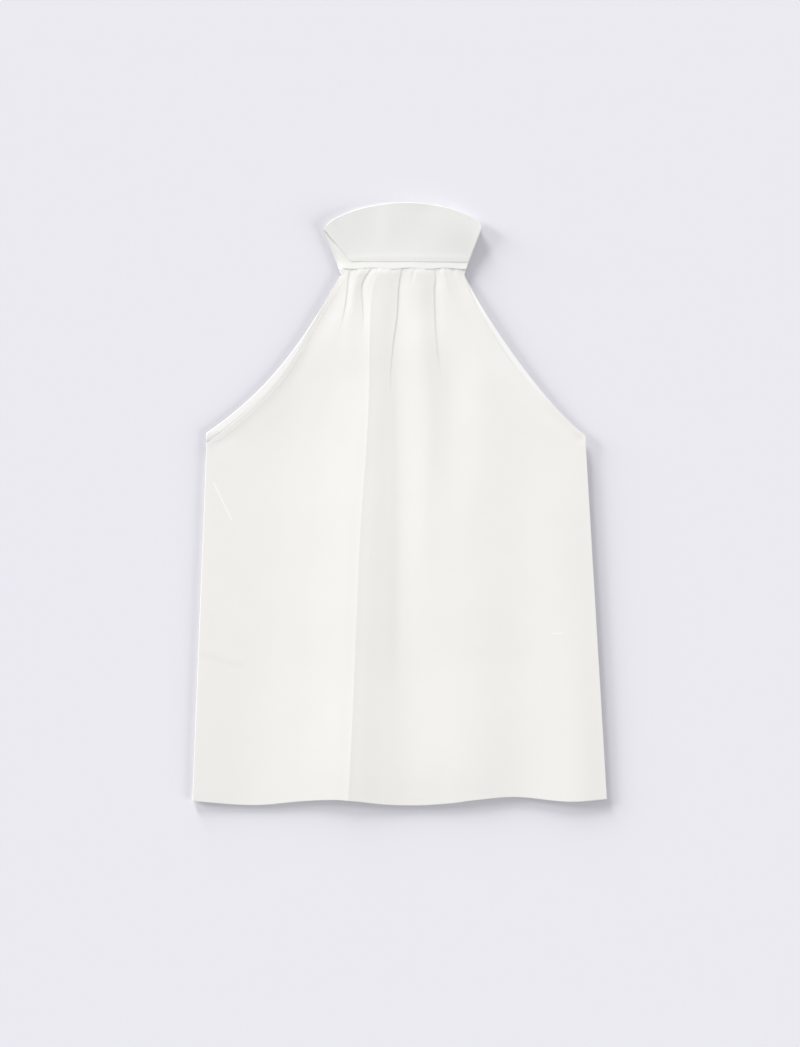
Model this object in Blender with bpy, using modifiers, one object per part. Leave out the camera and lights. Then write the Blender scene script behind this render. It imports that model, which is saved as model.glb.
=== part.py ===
# A sleeveless halter top laid flat with its front up. The back panel rests on the surface and the
# front panel lies on it. Both run up into a flared collar, which is folded over at its top edge.
# Sizes are in millimetres: x across the garment, y up it from hem to collar, z off the surface.
from collections import namedtuple
from math import cos, pi, radians, sin

import bmesh
import bpy
import numpy as np
from mathutils import Vector

MM = 0.001

CLOTH = 1.2
COLLAR_CLOTH = 1.0
SEAM_GAP = 0.3

IVORY = (0.87, 0.87, 0.82, 1.0)
IVORY_SHADE = (0.80, 0.80, 0.76, 1.0)
BUTTON_WHITE = (0.90, 0.89, 0.84, 1.0)

# Each side of the body: the neck corner, the notch under the collar, the underarm, the hem corner,
# and the directions (degrees from straight down) and reaches that bend the armhole between them.
Side = namedtuple("Side", "corner notch underarm hem neck_turn neck_reach arm_turn arm_reach")
LEFT = Side((-73.5, 281.0), (-70.7, 274.5), (-231.5, 85.5), (-248.7, -356.1), 30, 80, 56, 100)
RIGHT = Side((79.5, 281.0), (77.5, 275.1), (222.7, 82.1), (248.7, -353.7), 24, 50, 54, 60)

# How far the armhole edge of the front lies below that of the back, along the armhole from the
# notch (0) to the underarm (1), so that a strip of the back shows on each side.
Strip = namedtuple("Strip", "along left right")
BACK_STRIPS = (
    Strip(0.00, 0.0, 1.5),
    Strip(0.15, 0.0, 6.5),
    Strip(0.30, 1.0, 10.0),
    Strip(0.45, 8.0, 8.5),
    Strip(0.60, 11.5, 2.0),
    Strip(0.75, 12.0, 0.0),
    Strip(1.00, 12.0, 0.0),
)

# The heights, up the garment, at which the folds are given.
STATIONS = {"neck": 281, "yoke": 245, "chest": 185, "underarm": 77, "hem": -356}

# The folds of the front, from left to right. A fold is a ridge or a valley line, run is its x and
# lift its height over the flat cloth at each station, and drop is how far its end hangs below the
# hem line. A crease is sharp, the others are round. Columns are the mesh steps from the last fold.
Fold = namedtuple("Fold", "name crease columns run lift drop")
FOLDS = (
    Fold("left swell", False, 5, (-68, -78, -105, -158, -174), (0.8, 1.2, 0.5, 0.5, 1.8), 5.4),
    Fold("first tuck", True, 4, (-61, -64, -77, -98, -118), (0.0, 0.2, 0.9, 1.2, 1.0), 1.0),
    Fold("first gather", False, 3, (-51, -55, -63, -74, -96), (1.2, 2.5, 1.9, 1.9, 1.2), -0.2),
    Fold("second tuck", True, 3, (-34, -46, -50, -57, -77), (0.0, 0.6, 2.3, 2.5, 2.0), -0.6),
    Fold("long crease", True, 3, (-27, -34, -36, -40, -62), (0.9, 3.9, 4.0, 3.6, 3.1), 0.6),
    Fold("crease foot", False, 3, (-16, -24, -26, -29, -49), (0.8, 1.5, 1.6, 1.4, 1.2), 1.8),
    Fold("third tuck", True, 3, (1, -3, -9, -14, -22), (0.0, 0.0, 0.3, 0.5, 0.6), 5.0),
    Fold("third gather", False, 2, (7, 4, -1, -4, -9), (0.9, 1.7, 1.9, 1.7, 1.6), 6.0),
    Fold("short tuck", True, 2, (13, 11, 8, 7, 6), (0.1, 2.3, 2.8, 2.4, 2.3), 6.5),
    Fold("fourth gather", False, 3, (26, 24, 27, 30, 22), (1.2, 3.3, 3.5, 2.9, 2.7), 6.6),
    Fold("fourth tuck", True, 4, (41, 41, 44, 50, 57), (0.0, 0.0, 0.2, 0.8, 1.4), 4.6),
    Fold("fifth gather", False, 4, (47, 57, 74, 89, 92), (1.0, 2.5, 2.3, 2.0, 2.3), 0.4),
    Fold("fifth tuck", True, 4, (53, 75, 101, 120, 135), (0.1, 0.9, 0.9, 0.7, 0.4), -3.0),
    Fold("right swell", False, 5, (64, 86, 119, 183, 207), (1.0, 1.6, 1.0, 1.5, 2.0), 3.0),
)
EDGE_COLUMNS = 4
CREASE_STEEPNESS = 1.7

NECK_ROWS = 3
ARMHOLE_ROWS = 14
ARMHOLE_CROWDING = 1.15
SIDE_ROWS = 12
BACK_COLUMNS = 20
BACK_HEM_LIFT = 2.0

SEAM_Y = 282.0
SEAM_WAVE = 0.7
SEAM_WAVE_LENGTH = 44.0
NECK_RISE_LENGTH = 38.0

# The collar seen from above: the ends of its seam, of the line under the arch of its folded top
# edge, and of the lower edges of the outer layers that are folded over, the front one pulled in.
COLLAR_BASE = ((-73.5, SEAM_Y), (79.5, SEAM_Y))
COLLAR_TOP = ((-90.3, 329.0), (98.7, 331.8))
FRONT_FALL = ((-58.5, 290.6), (82.2, 290.2))
BACK_FALL = ((-76.6, 290.6), (82.2, 290.2))
ARCH_RISE = 31.1
ARCH_FULLNESS = 1.8
ARCH_SHOULDER = 0.6
FALL_BULGE = 1.3
BULGE_WIDTH = 0.7
BULGE_LENGTH = 0.8
BULGE_START = 0.1
BACK_INSET = 1.6
CENTRE_GAP = 1.2

COLLAR_COLUMNS = 26
BACK_COLLAR_COLUMNS = 11
LAYER_STEPS = 6
FOLD_STEPS = 5

SLIT_WIDTH = 2.4
SLIT_LENGTH = 112.0
SLIT_CUT_DEPTH = 20.0

BUTTON_RADIUS = 4.5
BUTTON_SIDES = 28
HOLE_SIDES = 12
SHARP_ANGLE = 40
BUTTON_DEPTH = 1.5
BUTTON_EDGE = 0.35
BUTTON_X = -6.2
BUTTON_HEIGHTS = {"lower": 17.0, "upper": 55.0}
HOLE_RADIUS = 0.7
HOLE_SPACING = 2.4
LOOP_RADIUS = 0.55
LOOP_CLEARANCE = 0.35
LOOP_END = 5.0
LOOP_HALF_WIDTH = 1.9
LOOP_OPEN_ANGLE = 40
LOOP_ARC_STEPS = 14

# The layers, from the surface up, as heights of the middle of each wall.
CREASE_ROOM = 0.1
FALL_ROOM = 1.8
BACK_Z = CLOTH / 2
FRONT_Z = BACK_Z + CLOTH + SEAM_GAP + CREASE_ROOM
BACK_FALL_Z = COLLAR_CLOTH / 2
BUTTON_Z = COLLAR_CLOTH + SEAM_GAP + BUTTON_DEPTH / 2
BACK_STAND_Z = BUTTON_Z + BUTTON_DEPTH / 2 + SEAM_GAP + COLLAR_CLOTH / 2
FRONT_STAND_Z = BACK_STAND_Z + COLLAR_CLOTH + SEAM_GAP
FRONT_FALL_Z = FRONT_STAND_Z + FALL_ROOM
NECK_FRONT_Z = BACK_STAND_Z + CLOTH + SEAM_GAP + 2 * CREASE_ROOM


def ease(t):
    t = min(max(t, 0.0), 1.0)
    return t * t * (3 - 2 * t)


def lerp(a, b, t):
    return a + (b - a) * t


def smooth_curve(places, values):
    """A curve through the values that never overshoots them."""
    order = np.argsort(places)
    x = np.array(places, float)[order]
    y = np.array(values, float)[order]
    chords = np.diff(y) / np.diff(x)
    slopes = np.zeros(len(x))
    slopes[0], slopes[-1] = chords[0], chords[-1]
    for i in range(1, len(x) - 1):
        before, after = chords[i - 1], chords[i]
        if before * after > 0:
            slopes[i] = 2 * before * after / (before + after)

    def curve(at):
        at = min(max(at, x[0]), x[-1])
        i = min(int(np.searchsorted(x, at, side="right")) - 1, len(x) - 2)
        return hermite(x[i], y[i], slopes[i], x[i + 1], y[i + 1], slopes[i + 1], at)

    return curve


def hermite(x0, y0, slope0, x1, y1, slope1, at):
    width = x1 - x0
    t = (at - x0) / width
    return (
        y0 * (1 + 2 * t) * (1 - t) ** 2
        + slope0 * width * t * (1 - t) ** 2
        + y1 * t * t * (3 - 2 * t)
        + slope1 * width * t * t * (t - 1)
    )


def armhole_point(side, t):
    """A point of the armhole, from the notch (t=0) to the underarm (t=1)."""
    outward = 1 if side.underarm[0] > 0 else -1
    start = Vector(side.notch)
    end = Vector(side.underarm)
    turns = radians(side.neck_turn), radians(side.arm_turn)
    leave = start + Vector((outward * sin(turns[0]), -cos(turns[0]))) * side.neck_reach
    arrive = end - Vector((outward * sin(turns[1]), -cos(turns[1]))) * side.arm_reach
    near = start * (1 - t) ** 3 + leave * 3 * t * (1 - t) ** 2
    return near + arrive * 3 * t * t * (1 - t) + end * t**3


def edge_points(side, strip):
    """The points of one side edge, from the neck corner down to the hem corner."""
    notch = Vector(side.notch)
    points = [Vector(side.corner).lerp(notch, k / NECK_ROWS) for k in range(NECK_ROWS)]
    for k in range(ARMHOLE_ROWS):
        t = (k / ARMHOLE_ROWS) ** ARMHOLE_CROWDING
        points.append(armhole_point(side, t) - Vector((0, strip(t))))
    underarm = Vector(side.underarm) - Vector((0, strip(1)))
    hem = Vector(side.hem)
    points += [underarm.lerp(hem, k / SIDE_ROWS) for k in range(SIDE_ROWS + 1)]
    return points


def body_rows(left_strip, right_strip):
    """The two edge points of each row of a panel, from the hem up."""
    return list(zip(edge_points(LEFT, left_strip), edge_points(RIGHT, right_strip)))[::-1]


def seam_y(x):
    return SEAM_Y + SEAM_WAVE * sin(2 * pi * x / SEAM_WAVE_LENGTH)


def neck_share(y):
    """0 on the body, rising to 1 at the neck seam."""
    return ease((y - SEAM_Y + NECK_RISE_LENGTH) / NECK_RISE_LENGTH)


def sheet(name, rows, thickness, material):
    """A wall around the surface through these rows of points."""
    bm = bmesh.new()
    bmesh.ops.create_grid(bm, x_segments=len(rows[0]) - 1, y_segments=len(rows) - 1, size=0.5)
    for vert, point in zip(bm.verts, [point for row in rows for point in row]):
        vert.co = Vector(point) * MM
    mesh = bpy.data.meshes.new(name)
    bm.to_mesh(mesh)
    bm.free()
    mesh.shade_smooth()
    piece = bpy.data.objects.new(name, mesh)
    mesh.materials.append(material)
    wall = piece.modifiers.new("Cloth", "SOLIDIFY")
    wall.thickness = thickness * MM
    wall.offset = 0
    wall.use_even_offset = True
    return piece


def fold_section(y, left, right):
    """The folds at one height, edge to edge: their x, lift, hem drop and crease."""
    heights = list(STATIONS.values())
    section = [(left, 0.0, 0.0, False)]
    for fold in FOLDS:
        run = smooth_curve(heights, fold.run)(y)
        lift = smooth_curve(heights, fold.lift)(y)
        section.append((run, lift, fold.drop, fold.crease))
    section.append((right, 0.0, 0.0, False))
    return section


def front_row(left, right):
    """The places across the front between two edge points: x, y, lift and hem drop."""
    section = fold_section((left.y + right.y) / 2, left.x, right.x)
    columns = [fold.columns for fold in FOLDS] + [EDGE_COLUMNS]
    points = []
    for k, (start, end) in enumerate(zip(section, section[1:])):
        chord = (end[1] - start[1]) / (end[0] - start[0])
        slopes = [chord * CREASE_STEEPNESS * item[3] for item in (start, end)]
        for step in range(columns[k] + (k == len(columns) - 1)):
            t = step / columns[k]
            x = lerp(start[0], end[0], t)
            lift = hermite(start[0], start[1], slopes[0], end[0], end[1], slopes[1], x)
            drop = lerp(start[2], end[2], ease(t))
            y = lerp(left.y, right.y, (x - left.x) / (right.x - left.x))
            points.append((x, y, lift, drop))
    return points


def front_panel(material):
    """The front, gathered into the neck seam, with its folds running down to the hem."""
    along = [strip.along for strip in BACK_STRIPS]
    left_strip = smooth_curve(along, [strip.left for strip in BACK_STRIPS])
    right_strip = smooth_curve(along, [strip.right for strip in BACK_STRIPS])
    edges = body_rows(left_strip, right_strip)
    hem_reach = STATIONS["underarm"] - STATIONS["hem"]
    rows = []
    for left, right in edges:
        row = []
        for x, y, lift, drop in front_row(left, right):
            if left is edges[-1][0]:
                y = seam_y(x) - SEAM_GAP
            hang = ease((STATIONS["underarm"] - y) / hem_reach)
            z = lerp(FRONT_Z, NECK_FRONT_Z, neck_share(y)) + lift
            row.append((x, y - drop * hang, z))
        rows.append(row)
    return sheet("front_panel", rows, CLOTH, material)


def back_panel(material, cutters):
    """The flat back, with the outline of the front and an open slit below the collar."""
    level = smooth_curve((0, 1), (0, 0))
    edges = body_rows(level, level)
    hem_ends = [fold.run[-1] for fold in FOLDS]
    hem_drops = [fold.drop for fold in FOLDS]
    hem_drop = smooth_curve([LEFT.hem[0], *hem_ends, RIGHT.hem[0]], [0, *hem_drops, 0])
    rows = []
    for left, right in edges:
        row = []
        for column in range(BACK_COLUMNS + 1):
            point = left.lerp(right, column / BACK_COLUMNS)
            if left is edges[-1][0]:
                point.y = seam_y(point.x) - SEAM_GAP
            if left is edges[0][0]:
                point.y += BACK_HEM_LIFT - hem_drop(point.x)
            z = lerp(BACK_Z, BACK_STAND_Z, neck_share(point.y))
            row.append((point.x, point.y, z))
        rows.append(row)
    panel = sheet("back_panel", rows, CLOTH, material)
    bm = bmesh.new()
    bmesh.ops.create_cube(bm, size=MM)
    box = Vector((SLIT_WIDTH, 2 * SLIT_LENGTH, SLIT_CUT_DEPTH))
    bmesh.ops.scale(bm, vec=box, verts=bm.verts)
    cut(panel, cutter("slit_cutter", bm, (0, SEAM_Y, 0), cutters))
    return panel


def collar_top(u):
    across = Vector(COLLAR_TOP[0]).lerp(Vector(COLLAR_TOP[1]), u)
    arch = (1 - abs(2 * u - 1) ** ARCH_FULLNESS) ** ARCH_SHOULDER
    return across + Vector((0, ARCH_RISE * arch))


def collar_column(u, stand_z, fall_z, fall_ends, bulge, inset):
    """The points of a folded collar piece at u across it: up the stand and down the fall."""
    radius = abs(fall_z - stand_z) / 2
    turn = 1 if fall_z > stand_z else -1
    base = Vector(COLLAR_BASE[0]).lerp(Vector(COLLAR_BASE[1]), u)
    base.y = seam_y(base.x)
    fall = Vector(fall_ends[0]).lerp(Vector(fall_ends[1]), u)
    top = collar_top(u) - Vector((0, inset + radius + COLLAR_CLOTH / 2))
    up = (top - base).normalized()
    points = []
    for step in range(LAYER_STEPS):
        point = base.lerp(top, step / LAYER_STEPS)
        points.append((*point, stand_z))
    for step in range(FOLD_STEPS):
        angle = pi * step / FOLD_STEPS
        point = top + up * radius * sin(angle)
        points.append((*point, (fall_z + stand_z) / 2 - turn * radius * cos(angle)))
    for step in range(LAYER_STEPS + 1):
        t = step / LAYER_STEPS
        point = top.lerp(fall, t)
        across = sin(pi * u) ** BULGE_WIDTH
        down = sin(pi * min(t + BULGE_START, 1.0)) ** BULGE_LENGTH
        points.append((*point, fall_z + bulge * across * down))
    return points


def collar_piece(name, start, end, columns, layers, material):
    """The part of the collar from start to end across it, folded over its top edge."""
    places = [lerp(start, end, column / columns) for column in range(columns + 1)]
    lines = [collar_column(u, *layers) for u in places]
    rows = [list(row) for row in zip(*lines)]
    return sheet(name, rows, COLLAR_CLOTH, material)


def collar_pieces(material):
    width = COLLAR_BASE[1][0] - COLLAR_BASE[0][0]
    centre = -COLLAR_BASE[0][0] / width
    gap = CENTRE_GAP / width
    edge = BACK_INSET / width
    front_layers = (FRONT_STAND_Z, FRONT_FALL_Z, FRONT_FALL, FALL_BULGE, 0)
    back_layers = (BACK_STAND_Z, BACK_FALL_Z, BACK_FALL, 0, BACK_INSET)
    return [
        collar_piece("collar_front", 0, 1, COLLAR_COLUMNS, front_layers, material),
        collar_piece("collar_back_left", edge, centre - gap, BACK_COLLAR_COLUMNS, back_layers,
                     material),
        collar_piece("collar_back_right", centre + gap, 1 - edge, BACK_COLLAR_COLUMNS,
                     back_layers, material),
    ]


def cutter(name, bm, location, cutters):
    mesh = bpy.data.meshes.new(name)
    bm.to_mesh(mesh)
    bm.free()
    tool = bpy.data.objects.new(name, mesh)
    tool.location = Vector(location) * MM
    tool.hide_render = True
    tool.display_type = "WIRE"
    cutters.objects.link(tool)
    return tool


def cut(piece, tool):
    opening = piece.modifiers.new(tool.name, "BOOLEAN")
    opening.operation = "DIFFERENCE"
    opening.object = tool


def button(name, height, material, cutters):
    """A flat two-hole button that lies between the stand and the fall of the collar's back."""
    bm = bmesh.new()
    radius = BUTTON_RADIUS * MM
    bmesh.ops.create_cone(bm, cap_ends=True, segments=BUTTON_SIDES, radius1=radius,
                          radius2=radius, depth=BUTTON_DEPTH * MM)
    mesh = bpy.data.meshes.new(name)
    bm.to_mesh(mesh)
    bm.free()
    mesh.shade_smooth()
    mesh.set_sharp_from_angle(angle=radians(SHARP_ANGLE))
    mesh.materials.append(material)
    disc = bpy.data.objects.new(name, mesh)
    disc.location = Vector((BUTTON_X, SEAM_Y + height, BUTTON_Z)) * MM
    rim = disc.modifiers.new("Rim", "BEVEL")
    rim.width = BUTTON_EDGE * MM
    rim.segments = 2
    for side, offset in (("left", -HOLE_SPACING / 2), ("right", HOLE_SPACING / 2)):
        bm = bmesh.new()
        radius = HOLE_RADIUS * MM
        bmesh.ops.create_cone(bm, cap_ends=True, segments=HOLE_SIDES, radius1=radius,
                              radius2=radius, depth=2 * BUTTON_DEPTH * MM)
        place = (BUTTON_X + offset, SEAM_Y + height, BUTTON_Z)
        cut(disc, cutter(f"{name}_{side}_hole_cutter", bm, place, cutters))
    return disc


def button_loop(name, height, material):
    """A cord sewn to the right back collar, round the button on the left one."""
    reach = BUTTON_RADIUS + LOOP_CLEARANCE + LOOP_RADIUS
    path = [(LOOP_END, LOOP_HALF_WIDTH)]
    for step in range(LOOP_ARC_STEPS + 1):
        angle = radians(lerp(LOOP_OPEN_ANGLE, 360 - LOOP_OPEN_ANGLE, step / LOOP_ARC_STEPS))
        path.append((BUTTON_X + reach * cos(angle), reach * sin(angle)))
    path.append((LOOP_END, -LOOP_HALF_WIDTH))
    curve = bpy.data.curves.new(name, "CURVE")
    curve.dimensions = "3D"
    curve.bevel_depth = LOOP_RADIUS * MM
    curve.bevel_resolution = 2
    curve.use_fill_caps = True
    spline = curve.splines.new("POLY")
    spline.points.add(len(path) - 1)
    for point, (x, y) in zip(spline.points, path):
        point.co = (x * MM, (SEAM_Y + height + y) * MM, BUTTON_Z * MM, 1)
    curve.materials.append(material)
    return bpy.data.objects.new(name, curve)


def closure_pieces(material, cord_material, cutters):
    pieces = []
    for place, height in BUTTON_HEIGHTS.items():
        pieces.append(button(f"button_{place}", height, material, cutters))
        pieces.append(button_loop(f"button_loop_{place}", height, cord_material))
    return pieces


def plain_material(name, colour, roughness):
    material = bpy.data.materials.new(name)
    material.use_nodes = True
    shader = material.node_tree.nodes["Principled BSDF"]
    shader.inputs["Base Color"].default_value = colour
    shader.inputs["Roughness"].default_value = roughness
    shader.inputs["Metallic"].default_value = 0.0
    return material


def main():
    for old in list(bpy.data.objects):
        bpy.data.objects.remove(old)
    garment = bpy.data.collections.new("Sleeveless top")
    cutters = bpy.data.collections.new("Cutters")
    for collection in (garment, cutters):
        bpy.context.scene.collection.children.link(collection)
    body_cloth = plain_material("Ivory cloth", IVORY, 0.6)
    collar_cloth = plain_material("Ivory collar cloth", IVORY_SHADE, 0.6)
    button_shell = plain_material("Pale button", BUTTON_WHITE, 0.3)
    pieces = [front_panel(body_cloth), back_panel(body_cloth, cutters)]
    pieces += collar_pieces(collar_cloth)
    pieces += closure_pieces(button_shell, collar_cloth, cutters)
    for piece in pieces:
        garment.objects.link(piece)


main()
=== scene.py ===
from math import cos, pi, radians, sin

import bmesh
import bpy
import numpy as np
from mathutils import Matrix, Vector


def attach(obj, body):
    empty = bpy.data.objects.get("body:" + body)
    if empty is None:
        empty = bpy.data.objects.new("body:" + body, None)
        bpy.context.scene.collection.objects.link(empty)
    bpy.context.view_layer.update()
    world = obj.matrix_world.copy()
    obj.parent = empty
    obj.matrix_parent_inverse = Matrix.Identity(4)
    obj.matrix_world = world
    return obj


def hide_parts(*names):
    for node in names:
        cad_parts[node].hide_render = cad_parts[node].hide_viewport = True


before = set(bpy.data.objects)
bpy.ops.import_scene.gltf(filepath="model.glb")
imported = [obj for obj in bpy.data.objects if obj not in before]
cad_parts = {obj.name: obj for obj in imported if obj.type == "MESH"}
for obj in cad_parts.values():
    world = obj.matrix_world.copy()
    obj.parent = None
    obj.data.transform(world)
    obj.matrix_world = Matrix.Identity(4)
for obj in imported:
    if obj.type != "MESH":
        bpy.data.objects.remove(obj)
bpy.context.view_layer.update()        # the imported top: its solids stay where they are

mm = 0.001   # sizes in the tables are millimetres: x across, y up from hem to collar, z off the surface

studio = {
    "frameHeight": 1256.4,         # what the photo's height covers
    "lookAt": (0.3, -23.1),
    "cameraHeight": 3000, "sensor": 36,
    "floorSize": 60000,
    "floorDrop": 0.2,              # just under the cloth
    "floorColour": (0.785, 0.778, 0.835, 1),
    "cloud": 0.02, "cloudColour": (0.8, 0.8, 0.8, 1),
    "fill": 0.43,                  # share of the light that comes evenly from all round
    "lamps": [   # name, share on the floor, degrees above it, degrees anticlockwise from +x, softness
        ("Left key", 0.20, 10.5, 155, 18),
        ("Top key", 0.25, 10.5, 112, 18),
        ("Return light", 0.18, 20, 340, 30),
    ],
}

outline = {   # each armhole is a curve: at the notch and the underarm, degrees from straight down and reach
    "left": {
        "corner": (-73.5, 281.0), "notch": (-70.7, 274.5), "underarm": (-231.5, 85.5),
        "hem": (-248.7, -356.1), "neckTurn": 30, "neckReach": 80, "armTurn": 56, "armReach": 100,
    },
    "right": {
        "corner": (79.5, 281.0), "notch": (77.5, 275.1), "underarm": (222.7, 82.1),
        "hem": (248.7, -353.7), "neckTurn": 24, "neckReach": 50, "armTurn": 54, "armReach": 60,
    },
    "seamY": 282.0, "seamWave": 0.7, "seamWaveLength": 44.0,       # the gathers bend the neck seam a little
    "neckRows": 6, "armholeRows": 76, "armholeCrowding": 1.25, "sideRows": 62,
    "edgeSteps": (0, 0.05, 0.16, 0.32, 0.8, 1.6, 3, 5.5, 9, 13),   # inward from an edge
    "edgeRoom": 2.2,               # they draw together where the width is less than this many of them
    "seamBlend": 12,               # the rows bend to the seam line over this height
}


# Geometry helpers

def ease(t):
    t = np.clip(t, 0, 1)
    return t * t * (3 - 2 * t)


def lerp(a, b, t):
    return a + (b - a) * t


def bump(distance, width):
    return np.exp(-(distance / width) ** 2)


def rounded(inward, radius, least=0):   # a quarter circle: 0 at the edge, 1 from its radius inwards
    away = np.clip(inward / radius, 0, 1)
    return np.sqrt(np.clip(1 - (1 - away) ** 2, least, 1))


def hermite(x0, y0, slope0, x1, y1, slope1, at):
    width = x1 - x0
    t = (at - x0) / width
    start = y0 * (1 + 2 * t) * (1 - t) ** 2 + slope0 * width * t * (1 - t) ** 2
    return start + y1 * t * t * (3 - 2 * t) + slope1 * width * t * t * (t - 1)


def smoothCurve(places, values):   # through the values, never past them
    order = np.argsort(places)
    x = np.array(places, float)[order]
    y = np.array(values, float)[order]
    chords = np.diff(y) / np.diff(x)
    before, after = chords[:-1], chords[1:]
    same = before * after > 0
    middle = np.where(same, 2 * before * after / np.where(same, before + after, 1), 0)
    slopes = np.concatenate((chords[:1], middle, chords[-1:]))

    def curve(at):
        at = np.clip(at, x[0], x[-1])
        i = np.clip(np.searchsorted(x, at, side="right") - 1, 0, len(x) - 2)
        return hermite(x[i], y[i], slopes[i], x[i + 1], y[i + 1], slopes[i + 1], at)

    return curve


def curveThrough(points):
    return smoothCurve(*zip(*points))


def seamLine(x):
    return outline["seamY"] + outline["seamWave"] * np.sin(2 * pi * x / outline["seamWaveLength"])


def edgeLine(side, strip):   # one side edge, from the hem up, as x and y
    shape = outline[side]
    out = 1 if shape["underarm"][0] > 0 else -1
    start, end = np.array(shape["notch"]), np.array(shape["underarm"])
    leaveTurn, arriveTurn = radians(shape["neckTurn"]), radians(shape["armTurn"])
    leave = start + np.array((out * sin(leaveTurn), -cos(leaveTurn))) * shape["neckReach"]
    arrive = end - np.array((out * sin(arriveTurn), -cos(arriveTurn))) * shape["armReach"]
    corner = np.array(shape["corner"])
    points = [lerp(corner, start, k / outline["neckRows"]) for k in range(outline["neckRows"])]
    for k in range(outline["armholeRows"]):
        t = (k / outline["armholeRows"]) ** outline["armholeCrowding"]
        point = start * (1 - t) ** 3 + leave * 3 * t * (1 - t) ** 2
        point = point + arrive * 3 * t * t * (1 - t) + end * t ** 3
        points.append(point - (0, strip(t)))
    underarm, hem = end - (0, strip(1)), np.array(shape["hem"])
    length = np.linalg.norm(underarm - hem)
    near = np.array(outline["edgeSteps"]) / length
    far = np.linspace(near[-1], 1, outline["sideRows"] + 1)[1:]
    share = np.concatenate((near, far))[::-1]
    points += [lerp(hem, underarm, t) for t in share]
    return np.array(points)[::-1]


def edgeShare(inward, wall):   # share of the wall that is left where a cut edge is rounded
    return rounded(inward, wall / 2, 0.02)


def inFromEdge(widths, count):   # shares of the width: fine steps in from the edge, then even ones
    steps = np.array(outline["edgeSteps"])
    room = np.minimum(1, widths / (outline["edgeRoom"] * steps[-1]))
    near = steps * (room / widths)[:, None]
    rest = near[:, -1:] + (1 - near[:, -1:]) * np.arange(1, count + 1) / count
    return np.concatenate((near, rest), axis=1)


def edgeDistance(x, y, edge):   # square to the edge line, row by row
    along = np.gradient(edge, axis=0)
    along /= np.linalg.norm(along, axis=1)[:, None]
    return np.abs((x - edge[:, :1]) * along[:, 1:])


def addPiece(name, mesh, material):
    mesh.materials.append(material)
    piece = bpy.data.objects.new(name, mesh)
    bpy.context.scene.collection.objects.link(piece)
    return piece


def makeSheet(name, grids, shares, wall, side, material):
    # A cloth wall: each grid holds rows of points, side 1 puts the wall above them and -1 below
    bm = bmesh.new()
    group = bm.verts.layers.deform.verify()
    for points, share in zip(grids, shares):
        rows, columns = points.shape[:2]
        made = bmesh.ops.create_grid(bm, x_segments=columns - 1, y_segments=rows - 1, size=0.5)
        flat, weights = points.reshape(-1, 3) * mm, share.reshape(-1)
        for vert, place, weight in zip(made["verts"], flat, weights):
            vert.co = place
            vert[group][0] = float(weight)
    bmesh.ops.remove_doubles(bm, verts=bm.verts, dist=0.002 * mm)
    mesh = bpy.data.meshes.new(name)
    bm.to_mesh(mesh)
    bm.free()
    mesh.shade_smooth()
    piece = addPiece(name, mesh, material)
    piece.vertex_groups.new(name="wall")
    cloth = piece.modifiers.new("Cloth", "SOLIDIFY")
    cloth.thickness = wall * mm
    cloth.offset = side
    cloth.vertex_group = "wall"
    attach(piece, "root")
    print(f"{name}: {len(mesh.polygons)} faces before its wall")
    return piece


# Shader maths

def feed(tree, node, sockets):   # links what is computed, sets what is constant
    for name, value in sockets.items():
        if isinstance(value, Shade):
            tree.links.new(value.socket, node.inputs[name])
        else:
            node.inputs[name].default_value = value


class Shade:   # one socket of a material: sums on it add Math nodes
    def __init__(self, tree, socket=None):
        self.tree = tree
        self.socket = socket

    def node(self, kind, settings=None, sockets=None, out=0):
        made = self.tree.nodes.new(kind)
        for name, value in (settings or {}).items():
            setattr(made, name, value)
        feed(self.tree, made, sockets or {})
        return Shade(self.tree, made.outputs[out])

    def maths(self, operation, *values):
        return self.node("ShaderNodeMath", {"operation": operation}, dict(enumerate(values)))

    def __add__(self, other):
        return self.maths("ADD", self, other)

    def __radd__(self, other):
        return self.maths("ADD", other, self)

    def __sub__(self, other):
        return self.maths("SUBTRACT", self, other)

    def __rsub__(self, other):
        return self.maths("SUBTRACT", other, self)

    def __mul__(self, other):
        return self.maths("MULTIPLY", self, other)

    def __rmul__(self, other):
        return self.maths("MULTIPLY", other, self)

    def scaled(self, sizes):
        return self.node("ShaderNodeVectorMath", {"operation": "MULTIPLY"}, {0: self, 1: sizes})

    def noise(self, scale, detail=2.0, roughness=0.5):
        sockets = {"Vector": self, "Scale": scale, "Detail": detail, "Roughness": roughness}
        return self.node("ShaderNodeTexNoise", {"noise_dimensions": "3D"}, sockets)

    def blend(self, first, second):   # this value mixes two colours
        sockets = {0: self, 6: first, 7: second}
        return self.node("ShaderNodeMix", {"data_type": "RGBA"}, sockets, out=2)


def newMaterial(name):
    material = bpy.data.materials.new(name)
    material.use_nodes = True
    tree = material.node_tree
    shader = tree.nodes["Principled BSDF"]
    place = Shade(tree).node("ShaderNodeTexCoord", out=3)
    return material, tree, shader, place


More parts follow.
